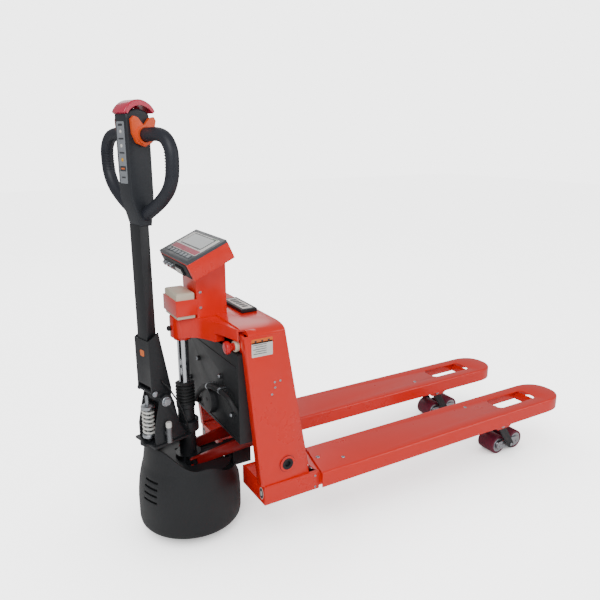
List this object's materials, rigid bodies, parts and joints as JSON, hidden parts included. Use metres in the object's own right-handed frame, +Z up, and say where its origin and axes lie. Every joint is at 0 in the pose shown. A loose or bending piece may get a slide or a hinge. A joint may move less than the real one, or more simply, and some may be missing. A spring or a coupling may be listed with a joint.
{
  "type": "electric pallet truck",
  "caption": "Walk-behind electric pallet truck with weighing forks, tiller with throttle, scale indicator, tandem load rollers and a covered steered drive wheel.",
  "frame": {"origin": "on the floor, under the middle of the truck's bounding box", "axes": "+X along the forks to their tips, +Y to the truck's left seen from the operator, +Z up"},
  "size_m": [1.7829, 0.568, 1.3859],
  "materials": {
    "red_paint": "glossy orange-red powder coat",
    "dark_red_paint": "red powder coat",
    "black_paint": "black satin paint",
    "black_plastic": "moulded fine grain",
    "grey_plastic": "moulded fine grain",
    "dark_plastic": "moulded",
    "grip_plastic": "soft-touch moulding",
    "white_plastic": "gloss",
    "cream_plastic": "moulded",
    "yellow_plastic": "gloss",
    "orange_plastic": "satin",
    "red_button": "gloss",
    "screen_glass": "polished",
    "zinc_steel": "zinc plated",
    "chrome": "hard chrome",
    "cast_aluminium": "as cast",
    "polyurethane": "cast polyurethane",
    "drive_rubber": "solid tyre",
    "rubber": "matt"
  },
  "bodies": {
    "chassis": {"base_left": "red_paint", "base_right": "red_paint", "fork_beam_left": "red_paint", "fork_beam_right": "red_paint", "side_panel_left": "red_paint", "side_panel_right": "red_paint", "rear_plate": "red_paint", "nose_bracket": "red_paint", "hood": "red_paint", "weigh_shell_left": "red_paint", "weigh_shell_right": "red_paint", "indicator_housing": "red_paint", "battery_strap": "red_paint", "front_cover": "black_plastic", "motor_controller": "grey_plastic", "indicator_bezel": "grey_plastic", "battery_pack": "dark_plastic", "charge_gauge": "white_plastic", "scale_battery": "cream_plastic", "indicator_screen": "screen_glass", "load_cells": "zinc_steel", "panel_fasteners": "zinc_steel", "yoke_pivot_pins": "zinc_steel", "piston_rod": "chrome", "pump_unit": "cast_aluminium"},
    "drive_carrier": {"drive_carrier": "black_paint", "drive_cover": "black_plastic"},
    "drive_unit": {"lift_cylinder": "black_paint", "cylinder_boot": "rubber", "drive_bracket": "black_paint", "traction_motor": "black_paint", "gearbox": "cast_aluminium", "tiller_base": "black_paint", "tiller_pivot_bolt": "zinc_steel", "tiller_spring": "zinc_steel", "tiller_cable": "rubber"},
    "drive_wheel": {"drive_tyre": "drive_rubber", "drive_hub": "zinc_steel"},
    "tiller": {"tiller_tube": "black_paint", "tiller_head": "grey_plastic", "grips": "grip_plastic"},
    "throttle": {"throttle": "orange_plastic"},
    "belly_button": {"belly_button": "red_button"},
    "raise_button": {"raise_button": "white_plastic"},
    "lower_button": {"lower_button": "white_plastic"},
    "horn_button": {"horn_button": "yellow_plastic"},
    "stop_button": {"stop_button": "red_button"},
    "rocker": {"rocker": "dark_red_paint"},
    "push_rod_left": {"push_rod_left": "zinc_steel"},
    "yoke_left": {"yoke_left": "black_paint"},
    "pair_pin_left": {"pair_pin_left": "zinc_steel"},
    "roller_pair_left": {"roller_carrier_left": "black_paint"},
    "load_roller_left_front": {"load_roller_left_front": "polyurethane"},
    "load_roller_left_rear": {"load_roller_left_rear": "polyurethane"},
    "push_rod_right": {"push_rod_right": "zinc_steel"},
    "yoke_right": {"yoke_right": "black_paint"},
    "pair_pin_right": {"pair_pin_right": "zinc_steel"},
    "roller_pair_right": {"roller_carrier_right": "black_paint"},
    "load_roller_right_front": {"load_roller_right_front": "polyurethane"},
    "load_roller_right_rear": {"load_roller_right_rear": "polyurethane"}
  },
  "joints": [
    {"name": "lift", "type": "slide", "parent": "chassis", "child": "drive_carrier", "axis": [0, 0, 1], "range_m": [0, 0.12]},
    {"name": "steer", "type": "hinge", "parent": "drive_carrier", "child": "drive_unit", "pos_m": [-0.712, 0, 0.3], "axis": [0, 0, 1], "range_deg": [-75, 45]},
    {"name": "drive_wheel_spin", "type": "hinge", "parent": "drive_unit", "child": "drive_wheel", "pos_m": [-0.712, 0, 0.105], "axis": [-0.2588, 0.9659, 0], "continuous": true},
    {"name": "tiller_tilt", "type": "hinge", "parent": "drive_unit", "child": "tiller", "pos_m": [-0.81342, -0.02718, 0.489], "axis": [0.2588, -0.9659, 0], "range_deg": [0, 75], "stiffness_Nm_per_rad": 25, "springref_deg": -22.92, "deforming": ["tiller_spring", "tiller_cable"]},
    {"name": "throttle_turn", "type": "hinge", "parent": "tiller", "child": "throttle", "pos_m": [-0.82598, -0.03054, 1.291], "axis": [0.2588, -0.9659, 0], "range_deg": [-30, 30], "stiffness_Nm_per_rad": 1},
    {"name": "belly_button_press", "type": "slide", "parent": "tiller", "child": "belly_button", "axis": [0, 0, -1], "range_m": [0, 0.006], "stiffness_N_per_m": 600, "springref_m": -0.004},
    {"name": "raise_button_press", "type": "slide", "parent": "tiller", "child": "raise_button", "axis": [0.9659, 0.2588, 0], "range_m": [0, 0.0025], "stiffness_N_per_m": 300, "springref_m": -0.002},
    {"name": "lower_button_press", "type": "slide", "parent": "tiller", "child": "lower_button", "axis": [0.9659, 0.2588, 0], "range_m": [0, 0.0025], "stiffness_N_per_m": 300, "springref_m": -0.002},
    {"name": "horn_button_press", "type": "slide", "parent": "tiller", "child": "horn_button", "axis": [0.9659, 0.2588, 0], "range_m": [0, 0.0025], "stiffness_N_per_m": 300, "springref_m": -0.002},
    {"name": "stop_button_press", "type": "slide", "parent": "chassis", "child": "stop_button", "axis": [1, 0, 0], "range_m": [0, 0.008], "stiffness_N_per_m": 800, "springref_m": -0.004},
    {"name": "rocker_turn", "type": "hinge", "parent": "chassis", "child": "rocker", "pos_m": [-0.476, 0, 0.273], "axis": [0, 1, 0], "range_deg": [0, 28.2]},
    {"name": "push_rod_left_slide", "type": "slide", "parent": "chassis", "child": "push_rod_left", "axis": [-1, 0, 0], "range_m": [0, 0.0433]},
    {"name": "yoke_left_swing", "type": "hinge", "parent": "chassis", "child": "yoke_left", "pos_m": [0.527, 0.1935, 0.15], "axis": [0, -1, 0], "range_deg": [0, 59.6]},
    {"name": "pair_left_level", "type": "hinge", "parent": "yoke_left", "child": "pair_pin_left", "pos_m": [0.603, 0.1935, 0.039], "axis": [0, 1, 0], "range_deg": [0, 59.6]},
    {"name": "pair_left_rock", "type": "hinge", "parent": "pair_pin_left", "child": "roller_pair_left", "pos_m": [0.603, 0.1935, 0.039], "axis": [0, 1, 0], "range_deg": [-12, 12]},
    {"name": "load_roller_left_front_spin", "type": "hinge", "parent": "roller_pair_left", "child": "load_roller_left_front", "pos_m": [0.652, 0.1935, 0.039], "axis": [0, 1, 0], "continuous": true},
    {"name": "load_roller_left_rear_spin", "type": "hinge", "parent": "roller_pair_left", "child": "load_roller_left_rear", "pos_m": [0.554, 0.1935, 0.039], "axis": [0, 1, 0], "continuous": true},
    {"name": "push_rod_right_slide", "type": "slide", "parent": "chassis", "child": "push_rod_right", "axis": [-1, 0, 0], "range_m": [0, 0.0433]},
    {"name": "yoke_right_swing", "type": "hinge", "parent": "chassis", "child": "yoke_right", "pos_m": [0.527, -0.1935, 0.15], "axis": [0, -1, 0], "range_deg": [0, 59.6]},
    {"name": "pair_right_level", "type": "hinge", "parent": "yoke_right", "child": "pair_pin_right", "pos_m": [0.603, -0.1935, 0.039], "axis": [0, 1, 0], "range_deg": [0, 59.6]},
    {"name": "pair_right_rock", "type": "hinge", "parent": "pair_pin_right", "child": "roller_pair_right", "pos_m": [0.603, -0.1935, 0.039], "axis": [0, 1, 0], "range_deg": [-12, 12]},
    {"name": "load_roller_right_front_spin", "type": "hinge", "parent": "roller_pair_right", "child": "load_roller_right_front", "pos_m": [0.652, -0.1935, 0.039], "axis": [0, 1, 0], "continuous": true},
    {"name": "load_roller_right_rear_spin", "type": "hinge", "parent": "roller_pair_right", "child": "load_roller_right_rear", "pos_m": [0.554, -0.1935, 0.039], "axis": [0, 1, 0], "continuous": true}
  ],
  "couplings": [
    {"joint": "rocker_turn", "follows": "lift", "rad_per_m": 4.0817},
    {"joint": "push_rod_left_slide", "follows": "lift", "ratio": 0.35822},
    {"joint": "yoke_left_swing", "follows": "lift", "rad_per_m": 8.6448},
    {"joint": "pair_left_level", "follows": "lift", "rad_per_m": 8.6448},
    {"joint": "push_rod_right_slide", "follows": "lift", "ratio": 0.35822},
    {"joint": "yoke_right_swing", "follows": "lift", "rad_per_m": 8.6448},
    {"joint": "pair_right_level", "follows": "lift", "rad_per_m": 8.6448}
  ]
}
